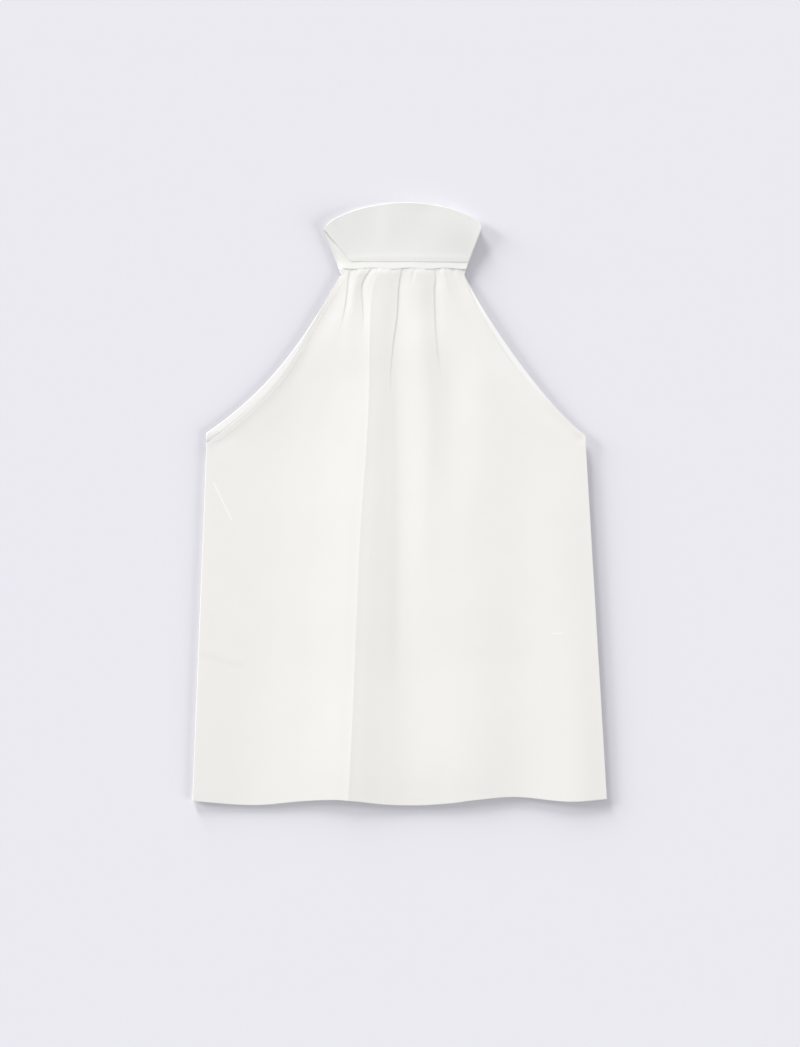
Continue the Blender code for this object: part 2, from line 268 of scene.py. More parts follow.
crepe = {
    "bodyLight": (0.845, 0.835, 0.808, 1),
    "bodyDeep": (0.818, 0.806, 0.778, 1),
    # the collar is a shade darker than the body: painted shade for its fall, which lies tilted away from the
    # lamps
    "collarShadedLight": (0.829, 0.826, 0.806, 1),
    "collarShadedDeep": (0.806, 0.803, 0.784, 1),
    # the back is whiter than the front: partly a paler cloth, partly painted light for the armhole strips
    # that the lamps leave as dark as the front
    "backPaintedLight": (0.885, 0.883, 0.871, 1),
    "backPaintedDeep": (0.871, 0.868, 0.857, 1),
    "grain": (1500, 1100, 1500),   # crepe pebbles to a metre, across, along and through
    "mottle": 26, "mottleShare": 0.7,
    "roughness": 0.72,
    "roughnessSway": 0.12,
    "grainDepth": 0.05, "grainStrength": 0.5,
    "sheen": 0.03, "sheenRoughness": 0.4, "shine": 0.12,
    "paintedEdgeShade": (0.52, 0.51, 0.49, 1),    # painted shade on upright cloth: cut edges and folds are darkened so they don't shine under the low lamps
    "edgeFrom": 0.92, "edgeTo": 0.55,      # how upright it is, as the normal's height
}


paintedCreases = [   # small creases in the front drawn only in colour: painted highlights along two light creases and painted shade in a soft dent; both ends, width, colour, strength
    ((-222.9, 25.5), (-201.3, -18.9), 1.7, (0.93, 0.92, 0.90, 1), 0.8),
    ((182.7, -154.5), (194.7, -154.5), 1.3, (0.93, 0.92, 0.90, 1), 0.7),
    ((-236.0, -180.0), (-191.7, -193.0), 8.0, (0.76, 0.75, 0.72, 1), 0.3),
]


def paintedCreaseMask(place, start, end, width):   # mask for painted crease light and shade: 1 along a crease, 0 from its width outwards
    start, run = Vector((*start, 0)) * mm, Vector((*end, 0)) * mm - Vector((*start, 0)) * mm
    flat = place.scaled((1, 1, 0))
    away = place.node("ShaderNodeVectorMath", {"operation": "SUBTRACT"}, {0: flat, 1: start})
    along = place.node("ShaderNodeVectorMath", {"operation": "DOT_PRODUCT"}, {0: away, 1: run}, out=1)
    share = place.node("ShaderNodeClamp", {}, {0: along * (1 / run.length_squared)})
    nearest = place.node("ShaderNodeVectorMath", {"operation": "SCALE"}, {0: run, 3: share})
    reach = place.node("ShaderNodeVectorMath", {"operation": "DISTANCE"}, {0: away, 1: nearest}, out=1)
    sockets = {0: reach, 1: 0.0, 2: width * mm, 3: 1.0, 4: 0.0}
    return place.node("ShaderNodeMapRange", {"interpolation_type": "SMOOTHSTEP"}, sockets)


def crepeMaterial(name, light, deep, creases=()):
    material, tree, shader, place = newMaterial(name)
    pebbles = place.scaled(crepe["grain"]).noise(1.0, detail=3.0, roughness=0.6)
    mottle = place.noise(crepe["mottle"], detail=3.0)
    tone = mottle * crepe["mottleShare"] + pebbles * (1 - crepe["mottleShare"])
    # the mask for painted shade: how far a face stands upright, from its normal's height
    normal = place.node("ShaderNodeNewGeometry", out=1)
    upright = place.node("ShaderNodeSeparateXYZ", {}, {0: normal}, out=2)
    upright = place.maths("ABSOLUTE", upright)
    steep = (crepe["edgeFrom"] - upright) * (1 / (crepe["edgeFrom"] - crepe["edgeTo"]))
    steep = place.node("ShaderNodeClamp", {}, {0: steep})
    colour = tone.blend(deep, light)
    # painted highlights and painted shade where the front has small creases
    for start, end, width, shade, strength in creases:
        colour = (paintedCreaseMask(place, start, end, width) * strength).blend(colour, shade)
    # painted shade: the more upright a face, the more it takes the dark edge colour, which keeps cut edges
    # and folds from shining under the low lamps
    colour = steep.blend(colour, crepe["paintedEdgeShade"])
    rough = pebbles * crepe["roughnessSway"] + (crepe["roughness"] - crepe["roughnessSway"] / 2)
    sockets = {"Strength": crepe["grainStrength"], "Distance": crepe["grainDepth"] * mm, "Height": pebbles}
    relief = place.node("ShaderNodeBump", {}, sockets)
    feed(tree, shader, {
        "Base Color": colour, "Roughness": rough, "Normal": relief, "Specular IOR Level": crepe["shine"],
        "Sheen Weight": crepe["sheen"], "Sheen Roughness": crepe["sheenRoughness"],
    })
    return material


buttonLook = {
    "light": (0.86, 0.85, 0.80, 1), "deep": (0.78, 0.76, 0.70, 1),
    "swirl": 220, "roughness": 0.22, "roughnessSway": 0.1, "coat": 0.4,
}


def buttonMaterial():
    material, tree, shader, place = newMaterial("Pale shell button")
    swirl = place.scaled((1, 1, 0.3)).noise(buttonLook["swirl"], detail=4.0, roughness=0.65)
    colour = swirl.blend(buttonLook["deep"], buttonLook["light"])
    rough = swirl * buttonLook["roughnessSway"] + buttonLook["roughness"]
    feed(tree, shader, {"Base Color": colour, "Roughness": rough, "Coat Weight": buttonLook["coat"]})
    return material


# The front panel: gathered into the neck seam, its folds running down to the hem

front = {
    "wall": 1.0,                   # cloth and turned hem together
    "single": 0.55,                # share of the wall where the cloth is single
    "armholeShare": 0.3,           # and where the armhole edge is pressed
    "hemDepth": 12, "armholeDepth": 6.5,
    "level": 5.2,                  # top of the flat cloth
    "neckLift": 1.08, "neckRise": 60,      # it rises to the neck seam over this height
    "cornerFall": 0.5, "cornerReach": 9,   # the neck's two corners lie lower
    "pressed": 0.55, "pressedOver": 5,     # the gathers are pressed flat in the seam
    "hemFall": 0.8, "hemFallFrom": -216,   # and falls to the hem from here down
    "sideEdge": 1.7,               # top of the cloth at the side seam
    "sideTop": 58, "underarmBlend": 12,    # above this the edge is open and lies on the back's edge
    "edgeRoll": 0.35, "edgeTuck": 1.0,    # the side rolls down and back under itself
    "armholeDips": ((13, 0.12, 8), (0, -0.45, 5.5)),   # left and right: how far in, depth, width
    "rightDipTop": 146, "rightDipFade": 34,            # the right one fades out towards this height
    # The folds below are given at these heights
    "stations": (281, 268, 257, 227, 191, 143, 77, -19, -115, -211, -307, -356),
    "relief": 0.85,                # scales every lift and depth below
    "folds": [   # name, kind, columns, x at each station, lift at each station
        ("left dip", "soft", 16,
         (-70, -72.5, -75, -90, -106, -118, -136, -146, -158, -164, -174, -182),
         (0.1, 0.05, 0.0, -0.2, -0.3, -0.9, -1.4, -0.9, -1.1, -1.5, -1.6, -1.7)),
        ("first tuck", "tuck", 10,
         (-59.2, -62.2, -62.7, -67, -76, -84, -98, -106, -112, -118, -124, -128),
         (0.1, 0.37, 0.6, 0.6, 0.3, -0.5, -0.9, -0.2, -0.3, -0.8, -0.8, -0.9)),
        ("first gather", "soft", 8,
         (-48, -52, -55, -56, -60, -63, -70, -78, -84, -88, -94, -97),
         (0.5, 0.77, 1.0, 1.1, 1.0, 0.3, 0.2, 0.8, 0.9, 0.3, 0.5, 0.2)),
        ("second tuck", "tuck", 8,
         (-33.5, -43.5, -46, -44, -46, -48, -53, -62, -67, -71, -76, -79),
         (0.3, 0.46, 0.6, 1.1, 1.4, 1.0, 1.1, 1.6, 1.8, 1.2, 1.5, 1.1)),
        ("long crease", "crease", 12,
         (-25, -29, -32.5, -35, -36.2, -36.7, -39.5, -46.5, -51, -54.7, -59.3, -62),
         (0.6, 0.87, 1.1, 1.7, 2.0, 1.8, 1.9, 2.4, 2.6, 2.1, 2.4, 2.0)),
        ("crease foot", "soft", 10,
         (-14, -17, -20, -22, -24, -25, -27, -33, -37, -40, -44, -46),
         (0.5, 0.72, 0.9, 1.4, 1.6, 1.4, 1.4, 2.0, 2.1, 1.5, 1.7, 1.3)),
        ("third tuck", "tuck", 10,
         (3, 0, -1.5, -3, -8, -11.5, -12, -14, -16, -18, -20, -21),
         (0.1, 0.26, 0.4, 0.6, 0.9, 0.7, 0.6, 1.0, 1.0, 0.3, 0.5, 0.1)),
        ("third valley", "soft", 8,
         (9, 7.5, 6, 5, 2, -2, -1, 1, 1, 5, 11, 16),
         (0.3, 0.46, 0.6, 0.7, 0.7, 0.3, 0.1, 0.3, 0.0, -0.7, -0.4, -0.9)),
        ("middle gather", "soft", 12,
         (24, 24, 24, 24.5, 27, 32, 35, 35, 39, 47, 52, 55),
         (0.5, 0.77, 1.0, 1.3, 1.8, 1.5, 1.5, 1.6, 1.1, 0.2, 0.3, -0.4)),
        ("fourth tuck", "tuck", 8,
         (42, 42.8, 41.5, 42, 44.5, 50, 52, 52, 58, 64, 66, 69),
         (0.1, 0.21, 0.3, 0.5, 1.0, 0.7, 1.0, 1.6, 1.5, 0.7, 0.7, 0.0)),
        ("fourth valley", "soft", 8,
         (47, 46.5, 46, 49, 58, 63, 63, 61, 72, 78, 76, 80),
         (0.3, 0.41, 0.5, 0.4, 0.5, 0.3, 0.8, 1.6, 1.7, 1.0, 0.9, 0.1)),
        ("fourth gather", "soft", 14,
         (52, 54.5, 57, 70, 86, 100, 103, 82, 90, 95, 92, 96),
         (0.5, 0.61, 0.7, 0.7, 0.8, 1.4, 1.4, 1.8, 1.8, 1.1, 1.0, 0.3)),
        ("right valley", "soft", 14,
         (58, 61, 64, 77, 98, 127, 150, 150, 151, 147, 146, 142),
         (0.2, 0.25, 0.3, 0.4, 0.5, 0.7, 0.6, 0.8, 0.8, 0.4, 0.1, -0.4)),
        ("right swell", "soft", 14,
         (66, 70.5, 74, 87, 111, 142, 185, 188, 192, 206, 216, 213),
         (0.1, 0.05, 0.0, 0.1, 0.2, 0.3, 0.3, 0.9, 1.1, 1.2, 1.2, 1.3)),
    ],
    "lastColumns": 14,
    "creaseSteepness": 1.5,        # how much steeper the cloth gets towards a crease
    "crowding": 1.6,               # how close the columns come together at a tuck or a crease
    "tucks": [   # fold, width, where the cloth is level again, heights and step down to the right
        ("first tuck", 1.1, 9, (281, 262, 240, 222, 205), (0.15, 0.30, 0.28, 0.12, 0.0)),
        ("second tuck", 1.1, 8, (281, 262, 240, 226, 205), (0.25, 0.38, 0.30, 0.12, 0.0)),
        ("third tuck", 1.2, 16, (281, 262, 225, 175, 120), (0.25, 0.42, 0.42, 0.25, 0.0)),
        ("fourth tuck", 1.2, 14, (281, 262, 225, 185, 145), (0.25, 0.45, 0.45, 0.28, 0.0)),
    ],
    "puckers": [   # x at the seam, lean, length, width, depth
        (-65, -3, 9, 1.3, 0.22), (62, 18, 34, 4.5, 0.35), (-51, -2, 12, 1.4, 0.30), (-41, -2, 7, 1.2, 0.22),
        (-26, -1, 9, 1.2, 0.25), (-19, 0, 6, 1.2, 0.20), (-9, -1, 11, 1.3, 0.30),
        (10, -1, 8, 1.2, 0.22), (18, -5, 24, 1.4, 0.34), (33, -1, 9, 1.2, 0.28),
        (48, 1, 7, 1.2, 0.20), (55, 4, 16, 1.4, 0.30), (64, 3, 8, 1.3, 0.20), (71, 3, 6, 1.2, 0.15),
    ],
    "backStrips": [   # along the armhole, and how far the front's edge lies below the back's
        (0.00, 0.0, 1.5), (0.15, 0.0, 9.0), (0.30, 1.0, 10.0), (0.45, 8.0, 12.0),
        (0.60, 11.5, 9.0), (0.75, 12.0, 3.5), (0.90, 12.0, 0.0), (1.00, 12.0, 0.0),
    ],
    "hem": [   # x and how far the cloth hangs below the line between the hem's corners
        (-248.7, 0), (-174, 5.4), (-118, 1.0), (-96, -0.2), (-77, -0.6), (-62, 0.6), (-49, 1.8),
        (-22, 5.0), (-9, 6.0), (6, 6.5), (22, 6.6), (57, 4.6), (92, 0.4), (135, -3.0), (207, 3.0),
        (248.7, 0),
    ],
    "hangFrom": 77,                # the hem's waves begin below this height
    "seamTuck": 0.5,               # how far the panel runs in under the collar
}


def foldSpacing(count, startKind, endKind):
    # Steps from 0 to 1, closer together at a tuck or a crease
    t = np.arange(count) / count
    power = front["crowding"]
    if startKind != "soft" and endKind != "soft":
        return np.where(t < 0.5, 0.5 * (2 * t) ** power, 1 - 0.5 * (2 - 2 * t) ** power)
    if startKind != "soft":
        return t ** power
    if endKind != "soft":
        return 1 - (1 - t) ** power
    return t


def foldSlopes(places, lifts, kinds):
    # The cloth's slope on each side of each fold line: level on a ridge, broken at a crease
    chords = np.diff(lifts, axis=0) / np.diff(places, axis=0)
    before, after = chords[:-1], chords[1:]
    same = before * after > 0
    smooth = np.where(same, 2 * before * after / np.where(same, before + after, 1), 0)
    creased = np.array([kind == "crease" for kind in kinds[1:-1]])[:, None]
    steep = front["creaseSteepness"]
    arriving = np.concatenate((chords[:1], np.where(creased, steep * before, smooth), chords[-1:]))
    leaving = np.concatenate((chords[:1], np.where(creased, steep * after, smooth), chords[-1:]))
    return leaving[:-1], arriving[1:]


def frontGrid():
    along, leftDrops, rightDrops = zip(*front["backStrips"])
    left = edgeLine("left", smoothCurve(along, leftDrops))
    right = edgeLine("right", smoothCurve(along, rightDrops))
    rowY = (left[:, 1] + right[:, 1]) / 2
    folds, stations = front["folds"], front["stations"]
    places, lifts = ([smoothCurve(stations, fold[k])(rowY) for fold in folds] for k in (3, 4))
    places = np.array([left[:, 0], *places, right[:, 0]])
    lifts = np.array([0 * rowY, *lifts, 0 * rowY])
    kinds = ["soft", *[fold[1] for fold in folds], "soft"]
    counts = [*[fold[2] for fold in folds], front["lastColumns"]]
    leaving, arriving = foldSlopes(places, lifts, kinds)
    x, lift = [], []
    for k, count in enumerate(counts):
        width = places[k + 1] - places[k]
        t = np.tile(foldSpacing(count, kinds[k], kinds[k + 1]), (len(rowY), 1))
        if k == 0:
            t = inFromEdge(width, count)[:, :-1]
        elif k == len(counts) - 1:
            t = 1 - inFromEdge(width, count)[:, ::-1]
        here = places[k][:, None] + width[:, None] * t
        x.append(here)
        lift.append(hermite(places[k][:, None], lifts[k][:, None], leaving[k][:, None],
                            places[k + 1][:, None], lifts[k + 1][:, None], arriving[k][:, None], here))
    x, lift = np.concatenate(x, axis=1), np.concatenate(lift, axis=1)
    across = (x - left[:, :1]) / (right[:, :1] - left[:, :1])
    y = lerp(left[:, 1:], right[:, 1:], across)
    toSeam = ease(1 - (rowY[-1] - rowY) / outline["seamBlend"])[:, None]
    hang = ease((front["hangFrom"] - y) / (front["hangFrom"] - stations[-1]))
    y = y + (seamLine(x) + front["seamTuck"] - y[-1:]) * toSeam - curveThrough(front["hem"])(x) * hang
    names = [fold[0] for fold in folds]
    for name, width, recovery, heights, depths in front["tucks"]:
        past = x - places[1 + names.index(name)][:, None]
        depth = smoothCurve(heights, depths)(y) * (y > heights[-1])
        lift = lift - depth * (ease(past / width + 0.5) - ease(past / recovery))
    below = seamLine(x) - y
    for top, lean, length, width, depth in front["puckers"]:
        line = top + lean * below / length
        lift = lift - depth * ease(1 - below / length) * bump(x - line, width)
    flat = front["pressed"] * ease(1 - below / front["pressedOver"])
    lift = np.where(lift > 0, lift * (1 - flat), lift)
    neck = np.clip(1 - below / front["neckRise"], 0, 1) ** 2
    atHem = np.clip((front["hemFallFrom"] - y) / (front["hemFallFrom"] - stations[-1]), 0, None) ** 2
    neckLift = front["neckLift"] + curveThrough(collar["seamAcross"])(x)
    z = front["level"] + neckLift * neck - front["hemFall"] * atHem + front["relief"] * lift
    arm = ease((rowY - front["sideTop"]) / front["underarmBlend"])[:, None]
    edges = [edgeDistance(x, y, left), edgeDistance(x, y, right)]
    fades = (1, ease((front["rightDipTop"] - y) / front["rightDipFade"]))
    for (inward, depth, width), edge, fade in zip(front["armholeDips"], edges, fades):
        z = z - depth * fade * arm * bump(edge - inward, width)
    edge = np.minimum(*edges)
    z = z - front["cornerFall"] * neck * (1 - ease(edge / front["cornerReach"]))
    atSide = lerp(front["sideEdge"], z, arm)
    roll = rounded(edge, front["edgeRoll"])
    z = lerp(np.minimum(z, atSide), z, roll)
    inward = np.where(edges[0] < edges[1], 1, -1)
    x = x + inward * front["edgeTuck"] * (1 - arm) * (1 - roll) ** 2
    return np.stack((x, y, z), axis=2), edge, arm


def frontPanel(material):
    points, sideways, arm = frontGrid()
    surface = points.copy()
    y, z = points[:, :, 1], points[:, :, 2]
    upward = y - y[:1]
    atArmhole = (sideways < front["armholeDepth"]) & (arm > 0.5)
    share = np.where(atArmhole, front["armholeShare"], front["single"])
    share = np.where(upward < front["hemDepth"], 1.0, share)
    thick = share * front["wall"]
    edge = np.minimum(sideways, upward)
    roundness = edgeShare(edge, thick)
    points[:, :, 2] = z - thick / 2 * (1 - roundness)
    piece = makeSheet("front_panel_cloth", [points], [share * roundness], front["wall"], -1, material)
    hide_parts("front_panel")
    return surface, sideways, arm


# The back panel: flat on the surface, open at the centre back below the collar

back = {
    "wall": 1.0,
    "single": 0.6, "pressed": 0.35, "pressedOver": 5,      # the armhole edge is pressed thin
    "hemDepth": 12,
    "hemLift": 2.0, "hemBlend": 60,       # its hem follows the front's wave, this far above it
    "sideEdge": 0.5,               # how far the edge curls up to the front's at the side seam
    "edgeRoll": 1.2,
    "neckLevel": 3.1, "neckRise": 60,
    "seamGap": 0.3,                # left below the collar
    # The edge of each armhole, left and right, lies up against the front's: lift, tilt, width, fall
    "armholeBand": {-1: (4.2, 0.0, 8, 20), 1: (4.75, 0.07, 8, 14)},
    "sideInset": 1.6,              # the side seam lies in under the front's edge
    "sideTop": 60,
    "halfColumns": 34,
    "slitLength": 112, "slitHalfWidth": 1.2, "slitEnd": 3,
    "noSlit": 99,                  # stands for the way to the slit in the rows below it
    "slitEdge": 0.1,               # the slit's edges are pressed, so they are less round
    "gatherNeck": 0.6,             # share of its width that a gather has at the neck
    "gathers": [   # x at the neck, x where it fades, y where it fades, width, depth
        (-58, -78, 205, 5, 0.5), (-46, -58, 170, 4, 0.7), (-33, -40, 195, 4, 0.6),
        (-20, -24, 150, 5, 0.7), (-9, -11, 210, 4, 0.5), (10, 13, 200, 4, 0.6),
        (22, 28, 155, 5, 0.7), (36, 45, 190, 4, 0.6), (49, 62, 165, 5, 0.7), (62, 84, 210, 5, 0.5),
    ],
}


def backGrids():
    plain = smoothCurve((0, 1), (0, 0))
    left, right = edgeLine("left", plain), edgeLine("right", plain)
    hemDrops = curveThrough(front["hem"])
    rowY = (left[:, 1] + right[:, 1]) / 2
    armhole = rowY > (outline["left"]["underarm"][1] + outline["right"]["underarm"][1]) / 2
    sewn = 1 - ease((rowY - back["sideTop"]) / front["underarmBlend"])
    left[:, 0] += back["sideInset"] * sewn
    right[:, 0] -= back["sideInset"] * sewn
    toSeam = ease(1 - (rowY[-1] - rowY) / outline["seamBlend"])[:, None]
    toHem = ease(1 - (rowY - rowY[0]) / back["hemBlend"])[:, None]
    slitFoot = outline["seamY"] - back["slitLength"]
    opening = back["slitHalfWidth"] * ease((rowY - slitFoot) / back["slitEnd"])
    grids, edges = [], []
    for line, side in ((left, -1), (right, 1)):
        inner = np.stack((side * opening, rowY), axis=1)
        t = inFromEdge(np.abs(inner[:, 0] - line[:, 0]), back["halfColumns"])
        x = line[:, :1] + (inner[:, :1] - line[:, :1]) * t
        y = line[:, 1:] + (inner[:, 1:] - line[:, 1:]) * t
        y = y + (seamLine(x) - back["seamGap"] - y[-1:]) * toSeam + (back["hemLift"] - hemDrops(x)) * toHem
        neck = ease((y - outline["seamY"] + back["neckRise"]) / back["neckRise"])
        edge = edgeDistance(x, y, line)
        curve = line[armhole]
        away = np.hypot(x[:, :, None] - curve[:, 0], y[:, :, None] - curve[:, 1]).min(axis=2)
        lift, tilt, wide, fall = back["armholeBand"][side]
        arm = 1 - ease((away - wide) / fall)
        z = lerp((lift - tilt * np.minimum(away, wide)) * arm, back["neckLevel"], neck)
        for top, foot, fade, spread, depth in back["gathers"]:
            t = (outline["seamY"] - y) / (outline["seamY"] - fade)
            width = spread * lerp(back["gatherNeck"], 1, t)
            z = z + depth * ease(1 - t) * bump(x - lerp(top, foot, t), width)
        z = z + back["sideEdge"] * (1 - rounded(edge, back["edgeRoll"])) * (1 - arm)
        slit = np.where(rowY[:, None] > slitFoot, np.abs(x - inner[:, :1]), back["noSlit"])
        points = np.stack((x, y, z), axis=2)
        if side > 0:
            points, edge, slit = points[:, ::-1], edge[:, ::-1], slit[:, ::-1]
        grids.append(points)
        edges.append((edge, slit))
    return grids, edges


def backPanel(material):
    grids, edges = backGrids()
    shares = []
    for points, (sideways, slit) in zip(grids, edges):
        upward = points[:, :, 1] - points[:1, :, 1]
        thin = lerp(back["pressed"], back["single"], ease(sideways / back["pressedOver"]))
        share = np.where(upward < back["hemDepth"], 1.0, thin)
        thick = share * back["wall"]
        edge = np.minimum(np.minimum(sideways, upward), slit + back["slitEdge"])
        roundness = edgeShare(edge, thick)
        points[:, :, 2] += thick / 2 * (1 - roundness) + (back["single"] - thin) * back["wall"]
        shares.append(share * roundness)
    piece = makeSheet("back_panel_cloth", grids, shares, back["wall"], 1, material)
    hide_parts("back_panel")
    return grids, edges


# The collar: double cloth, folded over at its arched top edge

collar = {
    "wall": 1.0,
    "base": ((-73.5, 282.0), (79.5, 282.0)),
    "top": ((-90.3, 329.0), (98.7, 331.8)),
    "frontFallEnds": ((-58.5, 290.6), (82.2, 290.2)),
    "backFallEnds": ((-76.6, 290.6), (82.2, 290.2)),
    "archRise": 31.1, "archFullness": 1.8, "archShoulder": 0.6,
    "backInset": 3.2,
    "centreGap": 1.2,                            # half the gap between the two back pieces
    "frontColumns": 120, "backColumns": 46,
    "standRows": 22, "foldRows": 10, "fallRows": 60,
    "cutSteps": (0, 0.05, 0.16, 0.32, 0.7),      # inward from a cut edge
    "rowRun": 50, "columnRun": 160,              # about how far the rows and the columns run
    "foldSteps": (0, 0.002, 0.006, 0.013),       # and from the fold, as shares of the height
    "foldReach": 0.1, "standInset": 3.0,         # the stand ends a little under the fold
    "backStand": 3.6, "backFall": 0.5,           # heights of the wall's middle
    "frontStand": 4.5, "standLift": 1.75,        # the stand under the fall, and where it shows
    "standSlope": 0.35,                          # the strip that shows falls a little to the fall's edge
    "underFrom": (-62, 0.14), "underBy": (-48, 0.45),   # x and share of the height where it goes under
    "stripFrom": 0.2, "stripBlend": 0.3,         # seamAcross fades out above this share
    "frontFall": 6.4,                            # top of the fall at its lower edge
    "edgeTaper": 7, "edgeShare": 0.2, "pressedShare": 0.6,      # that edge is pressed thin
    "crown": 1.3, "crownPower": 2.1,             # the fall is highest along its fold
    "foldAcross": ((-90, 0.3), (-60, 0.6), (-38, 0.35), (-30, 0.3), (-12, 0.7), (30, 0.2), (98, 0.0)),
    "edgeAcross": ((-58, 0.0), (10, 0.0), (82, -1.7)),
    "acrossTurn": 1.2,                           # foldAcross holds for the fall's upper part
    "seamAcross": ((-73, -0.2), (-40, 0.0), (10, 0.0), (80, -1.75)),
    "cornerRise": 1.2, "endFall": 0.7, "endReach": 11,     # where the stand shows at its left end
    "endShare": 0.35, "endTaper": 7,             # the left end is pressed thin as well
    "creases": [   # x and y of both ends, width, depth at the first end, below 0 for a ridge
        (-81, 345.5, -70.5, 326, 6, -0.4), (30, 350, 44, 310, 14, 0.3),
    ],
}


def segmentDistance(x, y, start, end):
    start, end = np.array(start, float), np.array(end, float)
    run = end - start
    share = np.clip(((x - start[0]) * run[0] + (y - start[1]) * run[1]) / (run @ run), 0, 1)
    return np.hypot(x - start[0] - share * run[0], y - start[1] - share * run[1]), share


def frontStandHeight(place, t):
    (fromX, fromT), (byX, byT) = collar["underFrom"], collar["underBy"]
    under = ease((place[:, 0] - fromX) / (byX - fromX)) * ease((t - fromT) / (byT - fromT))
    strip = 1 - ease((t - collar["stripFrom"]) / collar["stripBlend"])
    across = curveThrough(collar["seamAcross"])(place[:, 0]) * strip
    shown = collar["standLift"] - collar["standSlope"] * ease(t / fromT)
    shown = shown + collar["cornerRise"] * ease((t - fromT) / (1 - fromT))
    toEnd = place[:, 0] - place[0, 0]
    shown = (shown - collar["endFall"] * (1 - ease(toEnd / collar["endReach"]))) * (1 - under)
    return collar["frontStand"] + shown + across


def fallThickness(toEdge):   # share of the wall, from the fall's lower edge inwards
    return lerp(collar["edgeShare"], collar["pressedShare"], ease(toEdge / collar["edgeTaper"]))


def frontFallHeight(place, t):
    x, y = place[:, 0], place[:, 1]
    atFold, atEdge = curveThrough(collar["foldAcross"])(x), curveThrough(collar["edgeAcross"])(x)
    height = collar["frontFall"] + collar["crown"] * (1 - t) ** collar["crownPower"]
    height = height + lerp(atFold, atEdge, 1 - ease(collar["acrossTurn"] * (1 - t)))
    for x0, y0, x1, y1, width, depth in collar["creases"]:
        away, along = segmentDistance(x, y, (x0, y0), (x1, y1))
        height = height - depth * bump(away, width) * (1 - along)
    toEdge = (1 - t) * (y + collar["archRise"] - collar["frontFallEnds"][0][1])
    return height - collar["wall"] / 2 * fallThickness(toEdge)


def backStandHeight(place, t):
    return np.full(len(place), collar["backStand"])


def backFallHeight(place, t):
    return np.full(len(place), collar["backFall"])


def collarLines(u, standHeight, fallHeight, fallEnds, inset):
    # Rows of points across the collar: up the stand, round the fold and down the fall
    reach = collar["foldReach"]
    base = lerp(np.array(collar["base"][0])[None], np.array(collar["base"][1])[None], u[:, None])
    base[:, 1] = seamLine(base[:, 0])
    fall = lerp(np.array(fallEnds[0])[None], np.array(fallEnds[1])[None], u[:, None])
    top = lerp(np.array(collar["top"][0])[None], np.array(collar["top"][1])[None], u[:, None])
    arch = (1 - np.abs(2 * u - 1) ** collar["archFullness"]) ** collar["archShoulder"]
    top[:, 1] += collar["archRise"] * arch - inset - reach - collar["wall"] / 2
    up = top - base
    up /= np.linalg.norm(up, axis=1)[:, None]
    near = np.array(collar["cutSteps"]) / collar["rowRun"]
    rows = []
    standTop = top - up * collar["standInset"]
    fold = np.array(collar["foldSteps"])
    rise = np.linspace(near[-1], 1 - fold[-1], collar["standRows"])[1:-1]
    drop = np.linspace(fold[-1], 1 - near[-1], collar["fallRows"])[1:]
    for t in np.concatenate((near, rise, 1 - fold[:0:-1])):
        place = lerp(base, standTop, t)
        rows.append(np.column_stack((place, standHeight(place, t))))
    for step in range(collar["foldRows"]):
        angle = pi * step / collar["foldRows"]
        turn = (1 - cos(angle)) / 2
        height = lerp(standHeight(top, 1), fallHeight(top, 0), turn)
        rows.append(np.column_stack((lerp(standTop, top, ease(2 * turn)) + up * reach * sin(angle), height)))
    for t in np.concatenate((fold, drop, 1 - near[:-1][::-1])):
        place = lerp(top, fall, t)
        rows.append(np.column_stack((place, fallHeight(place, t))))
    return np.array(rows)


def collarPiece(name, node, u, shape, pressed, material):
    points = collarLines(u, *shape)
    steps = np.linalg.norm(np.diff(points, axis=0), axis=2)
    run = np.concatenate((np.zeros((1, len(u))), np.cumsum(steps, axis=0)))
    toFallEdge = run[-1:] - run
    fromLeft = points[:, :, 0] - points[:, :1, 0]
    sides = np.minimum(np.abs(fromLeft), np.abs(points[:, :, 0] - points[:, -1:, 0]))
    share = edgeShare(np.minimum(np.minimum(run, toFallEdge), sides), collar["wall"])
    if pressed:
        leftEnd = lerp(collar["endShare"], 1, ease(fromLeft / collar["endTaper"]))
        share = share * fallThickness(toFallEdge) * leftEnd
    piece = makeSheet(name, [points], [share], collar["wall"], 0, material)
    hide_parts(node)
    return piece


def sideSpacing(start, end, count):   # places across the collar, closer at both cut edges
    near = np.array(collar["cutSteps"]) / collar["columnRun"]
    middle = np.linspace(near[-1], end - start - near[-1], count)[1:-1]
    return start + np.concatenate((near, middle, end - start - near[::-1]))


def collarPieces(material):
    base = collar["base"]
    width = base[1][0] - base[0][0]
    centre = -base[0][0] / width
    gap, edge = collar["centreGap"] / width, collar["backInset"] / width
    frontShape = (frontStandHeight, frontFallHeight, collar["frontFallEnds"], 0)
    backShape = (backStandHeight, backFallHeight, collar["backFallEnds"], collar["backInset"])
    collarPiece("collar_front_cloth", "collar_front", sideSpacing(0, 1, collar["frontColumns"]),
                frontShape, True, material)
    collarPiece("collar_back_left_cloth", "collar_back_left",
                sideSpacing(edge, centre - gap, collar["backColumns"]),
                backShape, False, material)
    collarPiece("collar_back_right_cloth", "collar_back_right",
                sideSpacing(centre + gap, 1 - edge, collar["backColumns"]),
                backShape, False, material)


# Stitches: one mesh of short bars of thread along the hems, the armholes and the slit

stitches = {
    "length": 2.2, "pitch": 2.9, "thread": 0.34,
    "hemLine": 10.5, "armholeLine": 5.5, "slitLine": 3.0,   # in from the edge
    "openFrom": 0.99, "neckSpare": 2,    # the armhole's lines keep to its open rows below the neck
    "slitTop": 6,                        # and the slit's stop this far below the collar
    "light": (0.86, 0.85, 0.82, 1), "deep": (0.80, 0.79, 0.76, 1), "sunk": 0.08,
    "twist": 2600, "roughness": 0.6, "roughnessSway": 0.15,
    "barTack": (7, 0.5),           # bars across the foot of the slit and their spacing
}


